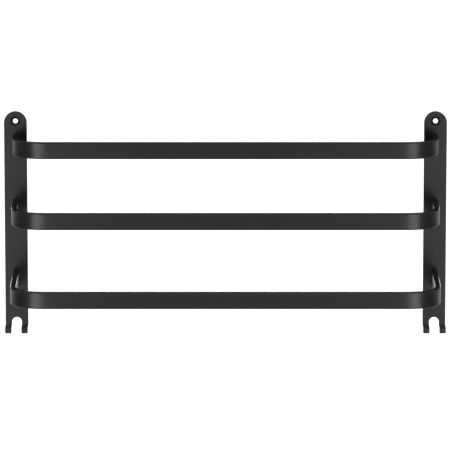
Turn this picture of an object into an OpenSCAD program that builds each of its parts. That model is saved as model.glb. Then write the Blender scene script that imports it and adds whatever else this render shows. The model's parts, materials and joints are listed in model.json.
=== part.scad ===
// Wall rack: three flat-bar rails that stand further out the lower they are,
// each screwed from behind to two flat uprights with forked lower ends.
// +Z is up. The wall is the plane Y = 0 and the rack stands out of it towards -Y.
// The origin lies on the wall, midway between the two upper wall screws.

/* [Overall width] */
// Width across the outer edges of the two uprights
rack_w = 580; // [420:1:720]

/* [Heights, from one level to the next] */
// From the round top of an upright down to its wall screw
top_to_hole = 13; // [10:0.5:20]
// From the wall screw down to the middle of the top rail
hole_to_top_rail = 28.5; // [24:0.5:60]
// From the middle of the top rail down to the middle of the middle rail
top_to_middle_rail = 86; // [50:0.1:160]
// From the middle of the middle rail down to the middle of the bottom rail
middle_to_bottom_rail = 93.5; // [50:0.1:160]
// From the middle of the bottom rail down to the round end of the fork's slot
bottom_rail_to_slot = 54; // [30:0.1:90]
// From the round end of the fork's slot down to the tips of its prongs
slot_depth = 21.5; // [20:0.1:40]

/* [How far the rails stand out] */
// Front of the top rail, out from the front of the uprights
top_rail_out = 62; // [52:1:120]
// Front of the middle rail, out from the front of the uprights
middle_rail_out = 102; // [52:1:180]
// Front of the bottom rail, out from the front of the uprights
bottom_rail_out = 153; // [52:1:260]

/* [Uprights] */
// Width of an upright
upright_w = 30; // [26:0.5:40]
// Thickness of an upright
upright_t = 5; // [4.5:0.1:8]
// Bore for the wall screw's shank
wall_hole_d = 6.6; // [4:0.1:8]
// Width of the countersink for the wall screw's head, at the front of the upright
wall_sink_d = 12.8; // [10:0.1:14]

/* [Fork] */
// Width of the slot between the prongs
slot_w = 13; // [6:0.5:16]
// From the round end of the slot down to where the prongs start to step forward
slot_to_step = 10.2; // [7:0.1:12]
// Height over which the prongs step forward
step_h = 4; // [2:0.5:6]
// How far forward the tips of the prongs stand
step_out = 3; // [1:0.5:8]
// How far towards the outside of the rack the tips stand
step_side = 0.8; // [0:0.1:3]
// Radius on the corners of the tips
tip_r = 1.5; // [0.5:0.1:3]

/* [Rails] */
// Height of the flat bar that a rail is bent from
rail_h = 22; // [16:0.5:30]
// Thickness of that flat bar
rail_t = 8; // [7:0.5:12]
// Radius on the long edges of that flat bar
rail_edge_r = 1.6; // [0.5:0.1:3]
// Radius of the outside of a bend
bend_r = 40; // [20:1:48]

/* [Rail screws] */
// Thread diameter of the screws that hold the rails
screw_d = 4; // [3:0.5:5]
// Length of a rail screw, head included
screw_l = 16; // [12:1:20]
// Width of a rail screw's countersunk head
screw_head_d = 7.5; // [6.5:0.1:9]
// How far a head lies below the back of the upright
screw_head_sunk = 0.2; // [0.1:0.1:0.5]
// Distance between the two screws in the end of an arm
screw_pitch = 10; // [8.5:0.5:11]
// Width across the flats of the hexagon socket in a head
socket_af = 2.5; // [1.5:0.5:3]
// Depth of that socket
socket_depth = 1.8; // [1:0.1:2]
// Gap all round between a screw and the metal that it sits in
screw_gap = 0.05; // [0.02:0.01:0.1]
// Length of thread left free below the end of a screw
thread_spare = 1.5; // [0.5:0.5:4]

/* [Hidden] */
$fn = 64;
side_names = ["left", "right"];
level_names = ["top", "middle", "bottom"];
row_names = ["upper", "lower"];

// How far a cutting shape runs past the face that it cuts
cut_past = 1;
// The middle of the right-hand upright, and of the arms that stand on it
upright_x = (rack_w - upright_w) / 2;
// The centre of the right-hand bends
bend_x = upright_x + rail_t / 2 - bend_r;
// Heights, from the wall screws
upright_top_z = top_to_hole;
rail_zs = [
    -hole_to_top_rail,
    -hole_to_top_rail - top_to_middle_rail,
    -hole_to_top_rail - top_to_middle_rail - middle_to_bottom_rail
];
slot_z = rail_zs[2] - bottom_rail_to_slot;
tip_z = slot_z - slot_depth;
step_z = slot_z - slot_to_step;
prong_w = (upright_w - slot_w) / 2;
rail_outs = [top_rail_out, middle_rail_out, bottom_rail_out];
// A countersunk head narrows at 90 degrees, so its depth is half of what it narrows by
screw_cone_h = (screw_head_d - screw_d) / 2;
wall_cone_h = (wall_sink_d - wall_hole_d) / 2;

function upright_name(side) = str("upright_", side);
function rail_name(level) = str("rail_", level);
function screw_name(level, side, row) = str("rail_screw_", level, "_", side, "_", row);

// A cylinder or cone that starts on the plane Y = 0 and runs forward, towards -Y
module forward(h, r1, r2) {
    rotate([90, 0, 0])
        cylinder(h = h, r1 = r1, r2 = r2);
}

// Thickens a shape seen from the front, from the wall forward to the front of the tips
module slab() {
    rotate([90, 0, 0])
        linear_extrude(step_out + upright_t)
            children();
}

// One prong, from the middle of the slot's round end down to its tip.
// X = 0 is its side nearest the middle of the rack, above the slant that moves it outwards.
module prong() {
    slab()
        polygon([
            [0, slot_z - slot_w / 2],
            [prong_w, slot_z - slot_w / 2],
            [prong_w, step_z],
            [prong_w + step_side, step_z - step_h],
            [prong_w + step_side, tip_z + tip_r],
            [step_side, tip_z + tip_r],
            [step_side, step_z - step_h],
            [0, step_z]
        ]);
    translate([step_side + tip_r, 0, tip_z])
        slab()
            square([prong_w - 2 * tip_r, tip_r]);
    for (x = [tip_r, prong_w - tip_r])
        translate([step_side + x, 0, tip_z + tip_r])
            slab()
                circle(r = tip_r);
}

// The outline of the right-hand upright, with X = 0 down its middle
module upright_outline() {
    translate([0, 0, upright_top_z - upright_w / 2])
        slab()
            circle(d = upright_w);
    difference() {
        translate([-upright_w / 2, 0, slot_z - slot_w / 2])
            slab()
                square([upright_w, upright_top_z - upright_w / 2 - slot_z + slot_w / 2]);
        translate([0, cut_past, slot_z - slot_w / 2])
            forward(step_out + upright_t + 2 * cut_past, slot_w / 2, slot_w / 2);
    }
    for (x = [-upright_w / 2, slot_w / 2])
        translate([x, 0, 0])
            prong();
}

// The flat bar seen from its side, as [distance out from the wall, height], with the step in its tips
module upright_side() {
    polygon([
        [0, upright_top_z],
        [0, step_z],
        [step_out, step_z - step_h],
        [step_out, tip_z],
        [step_out + upright_t, tip_z],
        [step_out + upright_t, step_z - step_h],
        [upright_t, step_z],
        [upright_t, upright_top_z]
    ]);
}

// The room that a rail screw needs, bored from the back of the upright at Y = 0
module rail_screw_room(h) {
    forward(h, screw_d / 2 + screw_gap, screw_d / 2 + screw_gap);
    translate([0, -screw_head_sunk, 0])
        forward(screw_cone_h, screw_head_d / 2 + screw_gap, screw_d / 2 + screw_gap);
    translate([0, cut_past, 0])
        forward(
            cut_past + screw_head_sunk,
            screw_head_d / 2 + screw_gap,
            screw_head_d / 2 + screw_gap
        );
}

// Moves its children to both screws in the end of an arm whose middle is at height z
module at_screws(z) {
    for (up = [1, -1])
        translate([0, 0, z + up * screw_pitch / 2])
            children();
}

// An upright on the right-hand side
module upright() {
    color([0.17, 0.17, 0.18])
        translate([upright_x, 0, 0])
            difference() {
                intersection() {
                    upright_outline();
                    rotate([90, 0, -90])
                        linear_extrude(upright_w + 2 * step_side, center = true)
                            upright_side();
                }
                translate([0, cut_past, 0])
                    forward(upright_t + 2 * cut_past, wall_hole_d / 2, wall_hole_d / 2);
                translate([0, wall_cone_h - upright_t, 0])
                    forward(wall_cone_h, wall_hole_d / 2, wall_sink_d / 2);
                translate([0, -upright_t, 0])
                    forward(cut_past, wall_sink_d / 2, wall_sink_d / 2);
                for (z = rail_zs)
                    at_screws(z)
                        rail_screw_room(upright_t + cut_past);
            }
}

// The section of a rail's flat bar: thickness along X, height along Y
module rail_section() {
    square([rail_t - 2 * rail_edge_r, rail_h], center = true);
    square([rail_t, rail_h - 2 * rail_edge_r], center = true);
    for (x = [-1, 1], y = [-1, 1])
        translate([x * (rail_t / 2 - rail_edge_r), y * (rail_h / 2 - rail_edge_r)])
            circle(r = rail_edge_r);
}

// A straight length of rail that starts on the plane Y = 0 and runs forward, towards -Y
module rail_straight(l) {
    rotate([90, 0, 0])
        linear_extrude(l)
            rail_section();
}

// One arm of a rail and the bend that turns it towards the middle, on the right-hand side
module rail_arm(out) {
    translate([upright_x, -upright_t, 0])
        rail_straight(out - bend_r);
    translate([bend_x, bend_r - upright_t - out, 0])
        rotate([0, 0, -90])
            rotate_extrude(angle = 90)
                translate([bend_r - rail_t / 2, 0])
                    rail_section();
}

// A whole rail: two arms, their bends and the run between them, drilled for its screws
module rail(z, out) {
    color([0.15, 0.15, 0.16])
        difference() {
            translate([0, 0, z])
                union() {
                    rail_arm(out);
                    mirror([1, 0, 0])
                        rail_arm(out);
                    translate([-bend_x, -upright_t - out + rail_t / 2, 0])
                        rotate([0, 0, 90])
                            rail_straight(2 * bend_x);
                }
            for (x = [-upright_x, upright_x])
                translate([x, 0, 0])
                    at_screws(z)
                        forward(
                            screw_l + screw_head_sunk + thread_spare,
                            screw_d / 2 + screw_gap,
                            screw_d / 2 + screw_gap
                        );
        }
}

// A countersunk screw with a hexagon socket, put in from behind the upright
module rail_screw(x, z) {
    color([0.55, 0.56, 0.58])
        translate([x, -screw_head_sunk, z])
            difference() {
                union() {
                    forward(screw_cone_h, screw_head_d / 2, screw_d / 2);
                    forward(screw_l, screw_d / 2, screw_d / 2);
                }
                translate([0, cut_past, 0])
                    rotate([90, 0, 0])
                        cylinder(h = cut_past + socket_depth, d = socket_af / cos(30), $fn = 6);
            }
}

for (i = [0, 1])
    mirror([1 - i, 0, 0])
            upright();
for (i = [0, 1, 2])
    rail(rail_zs[i], rail_outs[i]);
for (i = [0, 1, 2], j = [0, 1], k = [0, 1])
    rail_screw((2 * j - 1) * upright_x, rail_zs[i] + (1 - 2 * k) * screw_pitch / 2);
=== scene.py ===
"""Wall rack: fine shape, powder coat and studio for three bent rails on two forked uprights.

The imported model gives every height, width and place. Each Operator below makes one kind of
piece in metres around it: +Z is up and the wall is the plane Y = 0.
"""

import json
import math

import bmesh
import bpy
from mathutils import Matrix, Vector


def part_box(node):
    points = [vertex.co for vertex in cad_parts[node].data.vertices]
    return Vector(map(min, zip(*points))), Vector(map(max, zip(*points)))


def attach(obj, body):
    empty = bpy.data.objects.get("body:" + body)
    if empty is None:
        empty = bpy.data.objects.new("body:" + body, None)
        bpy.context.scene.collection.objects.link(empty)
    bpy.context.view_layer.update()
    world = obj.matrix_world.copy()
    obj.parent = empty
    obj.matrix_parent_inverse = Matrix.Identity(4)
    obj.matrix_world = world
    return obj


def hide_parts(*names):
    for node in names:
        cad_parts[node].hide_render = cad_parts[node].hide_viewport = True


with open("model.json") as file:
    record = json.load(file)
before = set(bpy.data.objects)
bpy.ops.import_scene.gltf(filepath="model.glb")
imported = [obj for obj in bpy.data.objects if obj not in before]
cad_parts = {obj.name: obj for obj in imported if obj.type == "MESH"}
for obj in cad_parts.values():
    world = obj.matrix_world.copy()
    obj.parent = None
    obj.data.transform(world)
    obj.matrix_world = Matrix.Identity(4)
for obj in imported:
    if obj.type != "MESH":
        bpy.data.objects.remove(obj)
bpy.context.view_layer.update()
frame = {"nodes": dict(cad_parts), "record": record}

bl_info = {
    "name": "Wall Rack",
    "version": (1, 0, 0),
    "blender": (4, 5, 0),
    "location": "3D View > Sidebar > Wall Rack",
    "description": "Builds a wall rack of bent flat-bar rails on two forked uprights",
    "category": "Object",
}

MM = 0.001
LEVELS = ("top", "middle", "bottom")
SIDES = {"left": -1, "right": 1}
ROWS = ("upper", "lower")
COATING_SLOT = "black_coating"
EDGE_STEPS = 7
STEP_SLICES = 16
SMOOTH_BELOW = math.radians(40)
FLOOR_RADIUS = 30.0
SIDE_LIGHT_AWAY = 2.0
RIM_LIGHT_SIDE = 1.2
RIM_LIGHT_BEHIND = 0.7
RIM_LIGHT_UP = 1.2


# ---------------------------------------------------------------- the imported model's own sizes


def mount(name):
    """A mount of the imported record, by name."""
    return next(m for m in frame["record"]["mounts"] if m["name"] == name)


def screw_node(level, side, row):
    return f"rail_screw_{level}_{side}_{row}"


UPRIGHT_X = mount("fork_right")["pos_m"][0]
SLOT_END_Z = mount("fork_right")["pos_m"][2]
WALL_HOLE_R = mount("wall_screws")["dims"]["hole_r_mm"] * MM
UPRIGHT_TOP_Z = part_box("upright_right")[1].z
TIP_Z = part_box("upright_right")[0].z
TIP_FRONT_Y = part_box("upright_right")[0].y
UPRIGHT_T = -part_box("rail_top")[1].y
STEP_OUT = -TIP_FRONT_Y - UPRIGHT_T
RAIL_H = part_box("rail_top")[1].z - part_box("rail_top")[0].z
RAIL_T = 2 * (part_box("rail_top")[1].x - UPRIGHT_X)
SCREW_BACK_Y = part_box(screw_node("top", "right", "upper"))[1].y
SCREW_END_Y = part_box(screw_node("top", "right", "upper"))[0].y
SCREW_HEAD_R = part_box(screw_node("top", "right", "upper"))[1].x - UPRIGHT_X


def rail_z(level):
    low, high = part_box(f"rail_{level}")
    return (low.z + high.z) / 2


def screw_z(level, row):
    low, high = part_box(screw_node(level, "right", row))
    return (low.z + high.z) / 2


# ---------------------------------------------------------------- sizes and colours a user would change


def length(label, what, value):
    return bpy.props.FloatProperty(
        name=label, description=what, default=value, min=0.0, subtype="DISTANCE", unit="LENGTH"
    )


def angle(label, what, degrees):
    return bpy.props.FloatProperty(
        name=label, description=what, default=math.radians(degrees), subtype="ANGLE", unit="ROTATION"
    )


def share(label, what, value):
    return bpy.props.FloatProperty(
        name=label, description=what, default=value, min=0.0, max=1.0, subtype="FACTOR"
    )


def amount(label, what, value):
    return bpy.props.FloatProperty(name=label, description=what, default=value, min=0.0)


def colour(label, what, value):
    return bpy.props.FloatVectorProperty(
        name=label, description=what, default=value, size=3, min=0.0, max=1.0, subtype="COLOR"
    )


class UprightSizes(bpy.types.PropertyGroup):
    """Fine sizes of the two uprights."""

    width: length("Width", "Width of an upright", 30 * MM)
    slot_width: length("Slot width", "Width of the slot between the prongs", 13 * MM)
    step_top: length("Step top", "From the slot's round end down to the start of the step", 10.2 * MM)
    step_height: length("Step height", "Height over which the prongs step forward", 4 * MM)
    step_side: length("Step side", "How far towards the outside the tips stand", 0.8 * MM)
    step_round: length("Step rounding", "Height over which each end of the step is rounded", 2.4 * MM)
    tip_radius: length("Tip radius", "Radius on the corners of the tips", 1.5 * MM)
    edge_radius: length("Edge radius", "Radius on the edges of the bar", 0.9 * MM)
    sink_radius: length("Countersink radius", "Radius of the wall hole's countersink", 6.4 * MM)
    rim_radius: length("Rim radius", "Rounding of the coat over the rim of a hole", 0.35 * MM)


class RailSizes(bpy.types.PropertyGroup):
    """Fine sizes of the three rails."""

    edge_radius: length("Edge radius", "Radius on the long edges of the bar", 1.6 * MM)
    bend_radius: length("Bend radius", "Radius that the middle of the bar has in an even bend", 36 * MM)
    bend_ease: share("Bend ease", "Share of a bend in which its curve tightens or opens", 1.0)
    bend_dish: length("Bend dish", "How far bending hollows the outer face of the bar", 0.35 * MM)
    screw_gap: length("Screw gap", "Gap all round a screw", 0.05 * MM)


class FinishLooks(bpy.types.PropertyGroup):
    """Colours and gloss of the powder coat and of the screws."""

    coat_colour: colour("Coat colour", "Colour of the powder coat", (0.0075, 0.0075, 0.0078))
    coat_worn: colour("Worn colour", "Colour of the coat where it is rubbed", (0.022, 0.022, 0.023))
    coat_roughness: share("Coat roughness", "Roughness of the powder coat", 0.29)
    upright_gloss: share("Upright gloss", "Strength of the reflections in the uprights", 0.45)
    # Set a little below the uprights' gloss so that the rails look darker: painted shade on the rails.
    rail_gloss_painted_shade: share("Rail gloss", "Strength of the reflections in the rails", 0.43)
    peel_size: length("Peel size", "Distance between the dimples in the coat", 1.6 * MM)
    peel_depth: length("Peel depth", "Depth of the dimples in the coat", 0.02 * MM)
    zinc_colour: colour("Zinc colour", "Colour of the screws' zinc plate", (0.56, 0.57, 0.60))
    zinc_roughness: share("Zinc roughness", "Roughness of the screws' zinc plate", 0.30)


class StudioLooks(bpy.types.PropertyGroup):
    """Camera, lights and floor."""

    camera_rise: angle("Camera rise", "Angle from which the camera looks down", 11.0)
    camera_distance: length("Camera distance", "From the camera to what it looks at", 6.35)
    lens: amount("Lens", "Focal length in millimetres", 386.6)
    aim_drop: length("Aim drop", "How far below the wall screws the camera looks", 0.1382)
    aim_side: length("Aim side", "How far left of the middle the camera looks", 0.6 * MM)
    floor_drop: length("Floor drop", "From the tips of the uprights down to the floor", 1.2)
    floor_glow: amount("Floor glow", "Brightness of the lit floor", 1.0)
    room_back: amount("Room back", "Brightness of the room behind the rack", 0.08)
    room_front: amount("Room front", "How much brighter the room is in front of the rack", 0.43)
    ground_front: amount("Ground front", "How much brighter the room is below the rack's height", 0.22)
    ground_back: amount("Ground back", "How much more that is behind the rack", 0.45)
    band_back: amount("Band behind", "Brightness of the band of the room level with and behind the rack", 3.6)
    side_light: amount("Side light", "Brightness of the two side lights", 4.0)
    side_size: length("Side light size", "Width of each side light", 0.85)
    side_turn: angle("Side turn", "Angle from the front at which the side lights stand", 19.5)
    rim_light: amount("Rim light", "Brightness of the two lights behind and above the ends", 1.2)
    rim_size: length("Rim light size", "Width of each of those lights", 1.0)


# ---------------------------------------------------------------- shader nodes


class Wire:
    """A shader socket's value: arithmetic on it adds Math nodes."""

    def __init__(self, finish, socket):
        self.finish = finish
        self.socket = socket

    def _maths(self, operation, *values):
        return self.finish.node("ShaderNodeMath", {"operation": operation}, dict(enumerate(values)))

    def __add__(self, other):
        return self._maths("ADD", self, other)

    def __sub__(self, other):
        return self._maths("SUBTRACT", self, other)

    def __mul__(self, other):
        return self._maths("MULTIPLY", self, other)

    def __radd__(self, other):
        return self._maths("ADD", other, self)

    def __rsub__(self, other):
        return self._maths("SUBTRACT", other, self)

    def __rmul__(self, other):
        return self._maths("MULTIPLY", other, self)

    def sibling(self, output):
        """Another output of the node that this value comes from."""
        return Wire(self.finish, self.socket.node.outputs[output])

    def clamped(self, low, high):
        """This value held between low and high."""
        return self._maths("MAXIMUM", self._maths("MINIMUM", self, high), low)


class Finish:
    """The node tree of a material or of the world."""

    def __init__(self, owner):
        owner.use_nodes = True
        self.owner = owner
        self.tree = owner.node_tree

    def node(self, kind, settings=None, values=None, output=0):
        """Adds a node, makes its settings, then fills or links its inputs. Gives back one output."""
        made = self.tree.nodes.new(kind)
        for name, value in (settings or {}).items():
            setattr(made, name, value)
        for name, value in (values or {}).items():
            self.feed(made.inputs[name], value)
        return Wire(self, made.outputs[output])

    def feed(self, socket, value):
        """Links a Wire to a socket, or sets the socket's own value."""
        if isinstance(value, Wire):
            self.tree.links.new(value.socket, socket)
        elif hasattr(value, "__len__") and socket.type == "RGBA":
            socket.default_value = (*value, 1.0)
        else:
            socket.default_value = value

    def set(self, **values):
        """Feeds the main shader's sockets; an underscore stands for a space."""
        for name, value in values.items():
            self.feed(self.tree.nodes["Principled BSDF"].inputs[name.replace("_", " ")], value)

    def place(self):
        """The point on the object, in metres."""
        return self.node("ShaderNodeTexCoord", output="Object")

    def noise(self, size, detail=2.0, roughness=0.5, stretch=(1.0, 1.0, 1.0)):
        """Noise from 0 to 1 whose features are about this many metres apart."""
        spot = self.node("ShaderNodeVectorMath", {"operation": "MULTIPLY"}, {0: self.place(), 1: stretch})
        settings = {"noise_dimensions": "3D"}
        values = {"Vector": spot, "Scale": 1.0 / size, "Detail": detail, "Roughness": roughness}
        return self.node("ShaderNodeTexNoise", settings, values, output="Fac")

    def mix(self, mask, first, second):
        """One colour going over into another as the mask goes from 0 to 1."""
        return self.node("ShaderNodeMix", {"data_type": "RGBA"}, {0: mask, 6: first, 7: second}, output=2)

    def bump(self, height, distance, strength=1.0):
        """A Normal that follows a height of 0 to 1, which stands for this many metres."""
        values = {"Height": height, "Distance": distance, "Strength": strength}
        return self.node("ShaderNodeBump", None, values, output="Normal")


def powder_coat(name, gloss):
    """Satin black powder coat: fine dimples, cloudy gloss and slightly rubbed edges. The gloss sets how
    strong its reflections are; the rails get a lower one as painted shade.
    """
    looks = bpy.context.scene.rack_finish
    coat = Finish(bpy.data.materials.new(name))
    clouds = coat.noise(60 * MM, detail=3.0)
    grain = coat.noise(0.45 * MM, detail=1.0)
    peel = coat.noise(looks.peel_size, detail=2.0)
    edge = coat.node("ShaderNodeAttribute", {"attribute_name": "edge"}, output="Fac")
    rub = edge * (coat.noise(9 * MM, detail=4.0, roughness=0.7) * 2.6 - 0.8).clamped(0.0, 1.0)
    body = coat.mix(clouds, [c * 0.9 for c in looks.coat_colour], [c * 1.12 for c in looks.coat_colour])
    coat.set(
        Base_Color=coat.mix(rub * 0.75, body, looks.coat_worn),
        Roughness=looks.coat_roughness + (clouds - 0.5) * 0.10 + (grain - 0.5) * 0.06 - rub * 0.08,
        Normal=coat.bump(peel * 0.8 + grain * 0.2, looks.peel_depth),
        Specular_IOR_Level=gloss,
    )
    return coat.owner


def zinc_plate():
    """Bright zinc on steel: metallic, with faint turning marks and a slight tarnish."""
    looks = bpy.context.scene.rack_finish
    zinc = Finish(bpy.data.materials.new("zinc_plate"))
    marks = zinc.noise(0.6 * MM, detail=3.0, stretch=(1.0, 6.0, 1.0))
    tarnish = zinc.noise(5 * MM, detail=3.0)
    dull = [c * 0.72 for c in looks.zinc_colour]
    zinc.set(
        Base_Color=zinc.mix(tarnish, looks.zinc_colour, dull),
        Metallic=1.0,
        Roughness=looks.zinc_roughness + (tarnish - 0.5) * 0.16 + (marks - 0.5) * 0.12,
        Normal=zinc.bump(marks, 0.01 * MM),
    )
    return zinc.owner


# ---------------------------------------------------------------- shapes


def arc(centre, radius, start, end, steps):
    """Points along an arc in a plane, both ends among them. Angles are in degrees."""
    turns = [math.radians(start + (end - start) * i / steps) for i in range(steps + 1)]
    return [(centre[0] + radius * math.cos(t), centre[1] + radius * math.sin(t)) for t in turns]


def bridge(bm, first, second, closed=True):
    """Joins two rings of vertices with quads."""
    count = len(first)
    for i in range(count if closed else count - 1):
        j = (i + 1) % count
        bm.faces.new((first[i], first[j], second[j], second[i]))


def mesh_object(name, bm):
    """A new object in the scene that holds this shape."""
    bmesh.ops.recalc_face_normals(bm, faces=bm.faces)
    mesh = bpy.data.meshes.new(name)
    bm.to_mesh(mesh)
    bm.free()
    made = bpy.data.objects.new(name, mesh)
    bpy.context.scene.collection.objects.link(made)
    return made


def lathe(name, x, z, profile, steps=48):
    """A closed turned shape on a line along Y. The profile is (radius, y) from axis to axis."""
    bm = bmesh.new()
    rings = []
    for radius, y in profile[1:-1]:
        turns = [math.tau * i / steps for i in range(steps)]
        rings.append(
            [bm.verts.new((x + radius * math.cos(t), y, z + radius * math.sin(t))) for t in turns]
        )
    for first, second in zip(rings, rings[1:]):
        bridge(bm, first, second)
    for ring, (_, y) in ((rings[0], profile[0]), (rings[-1], profile[-1])):
        tip = bm.verts.new((x, y, z))
        for i in range(steps):
            bm.faces.new((ring[i], ring[(i + 1) % steps], tip))
    return mesh_object(name, bm)


def apply_modifiers(piece):
    """Makes the piece's modifiers part of its mesh."""
    graph = bpy.context.evaluated_depsgraph_get()
    made = bpy.data.meshes.new_from_object(piece.evaluated_get(graph))
    old = piece.data
    piece.modifiers.clear()
    piece.data = made
    bpy.data.meshes.remove(old)


def cut(piece, tools):
    """Takes the tools' shapes out of the piece and removes the tools."""
    for tool in tools:
        step = piece.modifiers.new(tool.name, "BOOLEAN")
        step.operation = "DIFFERENCE"
        step.solver = "EXACT"
        step.object = tool
    apply_modifiers(piece)
    for tool in tools:
        shape = tool.data
        bpy.data.objects.remove(tool)
        bpy.data.meshes.remove(shape)


def smooth(piece):
    """Shades the piece smooth and keeps its flat faces flat."""
    piece.data.shade_smooth()
    piece.data.set_sharp_from_angle(angle=SMOOTH_BELOW)
    step = piece.modifiers.new("flat_faces", "WEIGHTED_NORMAL")
    step.mode = "FACE_AREA"
    step.weight = 80
    step.keep_sharp = True
    apply_modifiers(piece)


def finish_piece(piece, material, slot, *nodes):
    """Gives a piece its material and puts it in the place of these nodes."""
    piece.data.materials.clear()
    piece.data.materials.append(material)
    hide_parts(*nodes)
    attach(piece, "root")


# ---------------------------------------------------------------- uprights


def upright_outline(sizes):
    """The right-hand upright from the front, prongs still straight: (x, z) points, anticlockwise."""
    half = sizes.width / 2
    slot_r = sizes.slot_width / 2
    tip = sizes.tip_radius
    points = arc((0, UPRIGHT_TOP_Z - half), half, 0, 180, 48)
    points += arc((-half + tip, TIP_Z + tip), tip, 180, 270, 8)
    points += arc((-slot_r - tip, TIP_Z + tip), tip, 270, 360, 8)
    points += arc((0, SLOT_END_Z), slot_r, 180, 0, 40)
    points += arc((slot_r + tip, TIP_Z + tip), tip, 180, 270, 8)
    points += arc((half - tip, TIP_Z + tip), tip, 270, 360, 8)
    return points


def inset(points, distance):
    """A closed outline moved inwards, each corner along the bisector of its two sides."""
    moved = []
    count = len(points)
    for i, (x, z) in enumerate(points):
        before, after = points[i - 1], points[(i + 1) % count]
        first = Vector((x - before[0], z - before[1])).normalized()
        second = Vector((after[0] - x, after[1] - z)).normalized()
        normal = Vector((-first.y - second.y, first.x + second.x)).normalized()
        stretch = 1 / max(0.5, normal.dot(Vector((-first.y, first.x))))
        moved.append((x + normal.x * distance * stretch, z + normal.y * distance * stretch))
    return moved


def plate(name, sizes, x):
    """The flat upright with rounded edges, before its holes and its step."""
    outline = upright_outline(sizes)
    radius = sizes.edge_radius
    rings = []
    bm = bmesh.new()
    rubbed = bm.verts.layers.float.new("edge")
    for y, start in ((-radius, 90), (radius - UPRIGHT_T, 180)):
        for i, (depth, ring_y) in enumerate(arc((radius, y), radius, start, start + 90, EDGE_STEPS)):
            ring = [bm.verts.new((x + px, ring_y, pz)) for px, pz in inset(outline, depth)]
            for v in ring:
                v[rubbed] = float(0 < i < EDGE_STEPS)
            rings.append(ring)
    for first, second in zip(rings, rings[1:]):
        bridge(bm, first, second)
    bm.faces.new(rings[0])
    bm.faces.new(rings[-1])
    return mesh_object(name, bm)


def wall_hole(sizes, x):
    """The wall screw's hole as a shape to cut: countersunk from the front, with soft rims."""
    rim = sizes.rim_radius
    sink, bore = sizes.sink_radius, WALL_HOLE_R
    front = -UPRIGHT_T
    profile = [(0, front - MM), (sink + rim, front - MM)]
    profile += [(sink + rim - r, front + y) for r, y in ((0, 0), (0.62 * rim, 0.16 * rim), (rim, 0.55 * rim))]
    profile += [(bore + 0.2 * rim, front + sink - bore - 0.2 * rim), (bore, front + sink - bore + 0.3 * rim)]
    profile += [(bore + rim - r, y) for y, r in ((-rim, rim), (-0.3 * rim, 0.7 * rim), (0, 0))]
    profile += [(bore + rim, MM), (0, MM)]
    return lathe("wall_hole", x, 0, profile, 64)


def screw_room(sizes, x, z):
    """The room for a rail screw as a shape to cut from the back of an upright."""
    gap = bpy.context.scene.rack_rails.screw_gap
    rim = sizes.rim_radius
    head, shank = SCREW_HEAD_R + gap, screw_shank_r() + gap
    sunk = SCREW_BACK_Y
    profile = [(0, MM), (head + rim, MM), (head + rim, 0), (head + 0.3 * rim, -0.3 * rim), (head, sunk)]
    profile += [(shank, sunk - head + shank), (shank, -UPRIGHT_T - MM), (0, -UPRIGHT_T - MM)]
    return lathe("screw_room", x, z, profile, 40)


def screw_shank_r():
    """Radius of a rail screw's thread, from its narrowest box."""
    node = frame["nodes"][screw_node("top", "right", "upper")]
    z = screw_z("top", "upper")
    ring = [v.co for v in node.data.vertices if v.co.y < SCREW_END_Y + 0.1 * MM]
    return max(math.hypot(v.x - UPRIGHT_X, v.z - z) for v in ring)


def step_share(z, sizes):
    """How much of the step a point at height z has taken, from 0 to 1, eased at both ends."""
    top = SLOT_END_Z + sizes.slot_width / 2 - sizes.step_top
    fall = (top - z) / sizes.step_height
    soft = sizes.step_round / sizes.step_height
    low, high = -soft / 2, soft / 2
    if fall <= low:
        return 0.0
    if fall < high:
        return (fall - low) ** 2 / (2 * soft)
    if fall <= 1 - high:
        return fall
    if fall < 1 - low:
        return 1 - (1 - low - fall) ** 2 / (2 * soft)
    return 1.0


def take_step(piece, sizes):
    """Cuts the prongs into short lengths and sets them forward and outwards."""
    top = SLOT_END_Z + sizes.slot_width / 2 - sizes.step_top + sizes.step_round / 2
    height = sizes.step_height + sizes.step_round
    bm = bmesh.new()
    bm.from_mesh(piece.data)
    for i in range(STEP_SLICES + 1):
        level = top - height * i / STEP_SLICES
        everything = bm.verts[:] + bm.edges[:] + bm.faces[:]
        bmesh.ops.bisect_plane(bm, geom=everything, plane_co=(0, 0, level), plane_no=(0, 0, 1))
    for v in bm.verts:
        taken = step_share(v.co.z, sizes)
        v.co.y -= taken * STEP_OUT
        v.co.x += taken * sizes.step_side
    bm.to_mesh(piece.data)
    bm.free()


class RACK_OT_uprights(bpy.types.Operator):
    """Make both uprights with their holes, forks and stepped tips"""

    bl_idname = "rack.uprights"
    bl_label = "Uprights"

    def execute(self, context):
        sizes = context.scene.rack_uprights
        coat = powder_coat("upright_coat", context.scene.rack_finish.upright_gloss)
        for side, sign in SIDES.items():
            piece = plate(f"upright_{side}_coated", sizes, UPRIGHT_X)
            tools = [wall_hole(sizes, UPRIGHT_X)]
            tools += [screw_room(sizes, UPRIGHT_X, screw_z(level, row)) for level in LEVELS for row in ROWS]
            cut(piece, tools)
            take_step(piece, sizes)
            if sign < 0:
                mirror(piece)
            smooth(piece)
            finish_piece(piece, coat, COATING_SLOT, f"upright_{side}")
        return {"FINISHED"}


def mirror(piece):
    """Turns a right-hand piece into a left-hand one."""
    bm = bmesh.new()
    bm.from_mesh(piece.data)
    for v in bm.verts:
        v.co.x = -v.co.x
    bmesh.ops.reverse_faces(bm, faces=bm.faces)
    bm.to_mesh(piece.data)
    bm.free()


# ---------------------------------------------------------------- rails


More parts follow.
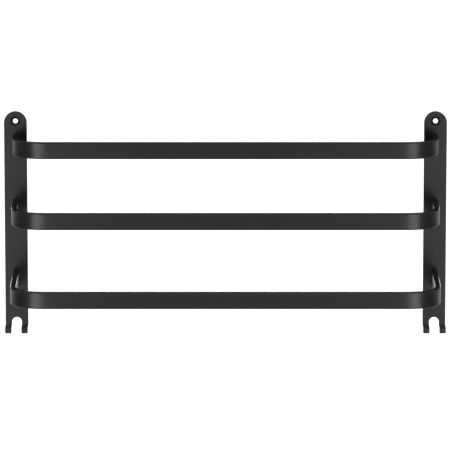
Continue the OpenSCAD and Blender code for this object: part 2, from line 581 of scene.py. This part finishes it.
def bend_curve(radius, ease, steps=40):
    """The middle of the bar round a right-angled bend, as (along, across, heading, tightness).
    It sets off along. The curve tightens, holds and opens again, and its middle is as far from
    the corner as that of an even bend of this radius."""
    fine = 20
    pieces = steps * fine
    turn = math.pi / 2

    def tightness(at):
        return min(1.0, at / (ease / 2), (1 - at) / (ease / 2))

    points = [(0.0, 0.0, 0.0, 0.0)]
    along = across = heading = 0.0
    for i in range(pieces):
        swing = tightness((i + 0.5) / pieces) * turn / (1 - ease / 2) / pieces
        along += math.cos(heading + swing / 2) / pieces
        across += math.sin(heading + swing / 2) / pieces
        heading += swing
        if (i + 1) % fine == 0:
            points.append((along, across, heading, tightness((i + 1) / pieces)))
    middle = points[steps // 2]
    scale = radius * (math.sqrt(2) - 1) / math.hypot(along - middle[0], middle[1])
    return [(a * scale, b * scale, turned, tight) for a, b, turned, tight in points]


def rail_path(level, sizes):
    """The right-hand half of a rail seen from above, from the upright to the middle of the front
    run: (x, y, heading, tightness), where heading is the angle turned from straight out."""
    front_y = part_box(f"rail_{level}")[0].y + RAIL_T / 2
    bend = bend_curve(sizes.bend_radius, sizes.bend_ease)
    bend_y = front_y + bend[-1][0]
    path = [(UPRIGHT_X, -UPRIGHT_T + (bend_y + UPRIGHT_T) * i / 9, 0.0, 0.0) for i in range(9)]
    path += [(UPRIGHT_X - across, bend_y - along, turned, tight) for along, across, turned, tight in bend]
    end_x = path[-1][0]
    path += [(end_x * (1 - i / 12), front_y, math.pi / 2, 0.0) for i in range(1, 13)]
    return path


def rail_section(sizes, dish):
    """The flat bar's section, anticlockwise: (across, height, rubbed), with across outwards.
    The coat is rubbed from 0 on the faces to 1 on the rounded edges."""
    r = sizes.edge_radius
    half_t, half_h = RAIL_T / 2, RAIL_H / 2
    corners = ((1, -1, 270), (1, 1, 0), (-1, 1, 90), (-1, -1, 180))
    points = []
    for side, up, start in corners:
        corner = arc((side * (half_t - r), up * (half_h - r)), r, start, start + 90, EDGE_STEPS)
        points += [(*spot, float(0 < i < EDGE_STEPS)) for i, spot in enumerate(corner)]
        if side == 1 and up == -1:
            rows = [k / 4 for k in range(-3, 4)]
            points += [(half_t - dish * (1 - k * k), k * (half_h - r), 0.0) for k in rows]
    return points


def sweep_rail(name, level, sizes):
    """The bent bar as one closed shape from one upright to the other."""
    half = rail_path(level, sizes)
    z = rail_z(level)
    bm = bmesh.new()
    rubbed = bm.verts.layers.float.new("edge")
    rings = []
    path = [(*spot, 1) for spot in half] + [(-spot[0], *spot[1:], -1) for spot in half[-2::-1]]
    for x, y, heading, tightness, side in path:
        outward = Vector((side * math.cos(heading), -math.sin(heading)))
        ring = []
        for across, height, wear in rail_section(sizes, tightness * sizes.bend_dish):
            spot = Vector((x, y)) + outward * across
            ring.append(bm.verts.new((spot.x, spot.y, z + height)))
            ring[-1][rubbed] = wear
        rings.append(ring)
    for first, second in zip(rings, rings[1:]):
        bridge(bm, first, second)
    bm.faces.new(rings[0])
    bm.faces.new(rings[-1])
    return mesh_object(name, bm)


def screw_bore(x, z):
    """The blind hole for a rail screw in the end of an arm, as a shape to cut."""
    bore = screw_shank_r() + bpy.context.scene.rack_rails.screw_gap
    end = SCREW_END_Y - 1.5 * MM
    start = -UPRIGHT_T + MM
    return lathe("screw_bore", x, z, [(0, start), (bore, start), (bore, end), (0, end - bore / 2)], 32)


class RACK_OT_rails(bpy.types.Operator):
    """Make the three bent rails"""

    bl_idname = "rack.rails"
    bl_label = "Rails"

    def execute(self, context):
        sizes = context.scene.rack_rails
        # The rails' copy of the coat reflects less than the uprights' copy: painted shade on the rails.
        coat = powder_coat("rail_coat", context.scene.rack_finish.rail_gloss_painted_shade)
        for level in LEVELS:
            piece = sweep_rail(f"rail_{level}_coated", level, sizes)
            xs = [sign * UPRIGHT_X for sign in SIDES.values()]
            cut(piece, [screw_bore(x, screw_z(level, row)) for x in xs for row in ROWS])
            smooth(piece)
            finish_piece(piece, coat, COATING_SLOT, f"rail_{level}")
        return {"FINISHED"}


# ---------------------------------------------------------------- screws


class RACK_OT_screws(bpy.types.Operator):
    """Give the twelve rail screws their zinc plate"""

    bl_idname = "rack.screws"
    bl_label = "Screws"

    def execute(self, context):
        zinc = zinc_plate()
        for level in LEVELS:
            for side in SIDES:
                for row in ROWS:
                    node = frame["nodes"][screw_node(level, side, row)]
                    node.data.materials.clear()
                    node.data.materials.append(zinc)
        return {"FINISHED"}


# ---------------------------------------------------------------- studio


def floor_finish(glow):
    """A plain white floor that is evenly lit."""
    paint = Finish(bpy.data.materials.new("white_floor"))
    speckle = paint.noise(0.4, detail=2.0)
    paint.set(
        Base_Color=paint.mix(speckle, (0.86, 0.86, 0.86), (0.9, 0.9, 0.9)),
        Roughness=0.9,
        Emission_Color=(1.0, 1.0, 1.0),
        Emission_Strength=glow,
    )
    return paint.owner


def aim(piece, target):
    """Turns a light or camera to look at a point."""
    piece.rotation_euler = (Vector(target) - piece.location).to_track_quat("-Z", "Y").to_euler()


def soft_light(name, spot, target, size, brightness):
    """A round soft light that looks at the rack."""
    lamp = bpy.data.lights.new(name, "AREA")
    lamp.shape = "DISK"
    lamp.size = size
    lamp.energy = brightness * math.pi * math.pi * size * size / 4
    made = bpy.data.objects.new(name, lamp)
    made.location = spot
    bpy.context.scene.collection.objects.link(made)
    aim(made, target)
    return made


def studio_room(studio):
    """A room that is brightest in front of the rack and overhead, with a narrow bright band level
    with and behind it. It is plain white to look at."""
    world = bpy.data.worlds.new("studio_room")
    room = Finish(world)
    way = room.node("ShaderNodeTexCoord", output="Generated")
    parts = room.node("ShaderNodeSeparateXYZ", None, {"Vector": way})
    across, height = parts.sibling("Y"), parts.sibling("Z")
    ahead = (across * -0.5 + height * 0.45 + 0.5).clamped(0.0, 2.0)
    below = (height * -5.0).clamped(0.0, 1.0)
    ground = below * (across.clamped(0.0, 1.0) * studio.ground_back + studio.ground_front)
    level = (1.0 - height * height * 40.0).clamped(0.0, 1.0)
    band = level * (across * 10.0 - 9.0).clamped(0.0, 1.0) * studio.band_back
    glow = ahead * ahead * ahead * studio.room_front + ground + band + studio.room_back
    seen = room.node("ShaderNodeLightPath", output="Is Camera Ray")
    strength = glow + seen * (1.0 - glow)
    sky = room.node("ShaderNodeBackground", None, {"Color": (1.0, 1.0, 1.0), "Strength": strength})
    room.feed(room.tree.nodes["World Output"].inputs["Surface"], sky)
    return world


class RACK_OT_stage(bpy.types.Operator):
    """Set up the floor, the lights, the room and the camera"""

    bl_idname = "rack.stage"
    bl_label = "Stage"

    def execute(self, context):
        scene = context.scene
        studio = scene.rack_studio
        target = Vector((-studio.aim_side, -UPRIGHT_T, -studio.aim_drop))

        bm = bmesh.new()
        bmesh.ops.create_circle(bm, cap_ends=True, radius=FLOOR_RADIUS, segments=96)
        floor = mesh_object("floor", bm)
        floor.location.z = TIP_Z - studio.floor_drop
        floor.data.materials.append(floor_finish(studio.floor_glow))
        floor.visible_diffuse = False
        floor.visible_glossy = False

        turn = studio.side_turn
        for side, sign in SIDES.items():
            face = Vector((sign * UPRIGHT_X, -UPRIGHT_T, target.z))
            way = Vector((sign * math.sin(turn), -math.cos(turn), -math.tan(studio.camera_rise)))
            spot = face + way * SIDE_LIGHT_AWAY
            soft_light(f"{side}_light", spot, face, studio.side_size, studio.side_light)

            rim = face + Vector((sign * RIM_LIGHT_SIDE, RIM_LIGHT_BEHIND, RIM_LIGHT_UP))
            soft_light(f"{side}_rim_light", rim, face, studio.rim_size, studio.rim_light)

        scene.world = studio_room(studio)

        camera = bpy.data.cameras.new("camera")
        camera.lens = studio.lens
        camera.sensor_width = 36
        camera.clip_end = 200
        eye = bpy.data.objects.new("camera", camera)
        rise = studio.camera_rise
        eye.location = target + Vector((0, -math.cos(rise), math.sin(rise))) * studio.camera_distance
        scene.collection.objects.link(eye)
        aim(eye, target)
        scene.camera = eye

        scene.view_settings.view_transform = "Standard"
        scene.view_settings.look = "None"
        scene.view_settings.exposure = 0.0
        scene.view_settings.gamma = 1.0
        return {"FINISHED"}


# ---------------------------------------------------------------- the add-on


class RACK_PT_panel(bpy.types.Panel):
    """Lists the sizes of the rack's pieces and the steps that build them"""

    bl_label = "Wall Rack"
    bl_idname = "RACK_PT_panel"
    bl_space_type = "VIEW_3D"
    bl_region_type = "UI"
    bl_category = "Wall Rack"

    def draw(self, context):
        scene = context.scene
        for group, operators in (
            (scene.rack_uprights, ("rack.uprights",)),
            (scene.rack_rails, ("rack.rails",)),
            (scene.rack_finish, ("rack.screws",)),
            (scene.rack_studio, ("rack.stage",)),
        ):
            box = self.layout.box()
            for name in group.bl_rna.properties.keys():
                if name not in ("rna_type", "name"):
                    box.prop(group, name)
            for operator in operators:
                box.operator(operator)


GROUPS = {
    "rack_uprights": UprightSizes,
    "rack_rails": RailSizes,
    "rack_finish": FinishLooks,
    "rack_studio": StudioLooks,
}
CLASSES = (
    *GROUPS.values(),
    RACK_OT_uprights,
    RACK_OT_rails,
    RACK_OT_screws,
    RACK_OT_stage,
    RACK_PT_panel,
)


def register():
    for made in CLASSES:
        bpy.utils.register_class(made)
    for name, group in GROUPS.items():
        setattr(bpy.types.Scene, name, bpy.props.PointerProperty(type=group))


def unregister():
    for name in GROUPS:
        delattr(bpy.types.Scene, name)
    for made in reversed(CLASSES):
        bpy.utils.unregister_class(made)


def main():
    """Builds the whole rack."""
    register()
    bpy.ops.rack.stage()
    bpy.ops.rack.uprights()
    bpy.ops.rack.rails()
    bpy.ops.rack.screws()


if __name__ == "__main__":
    main()
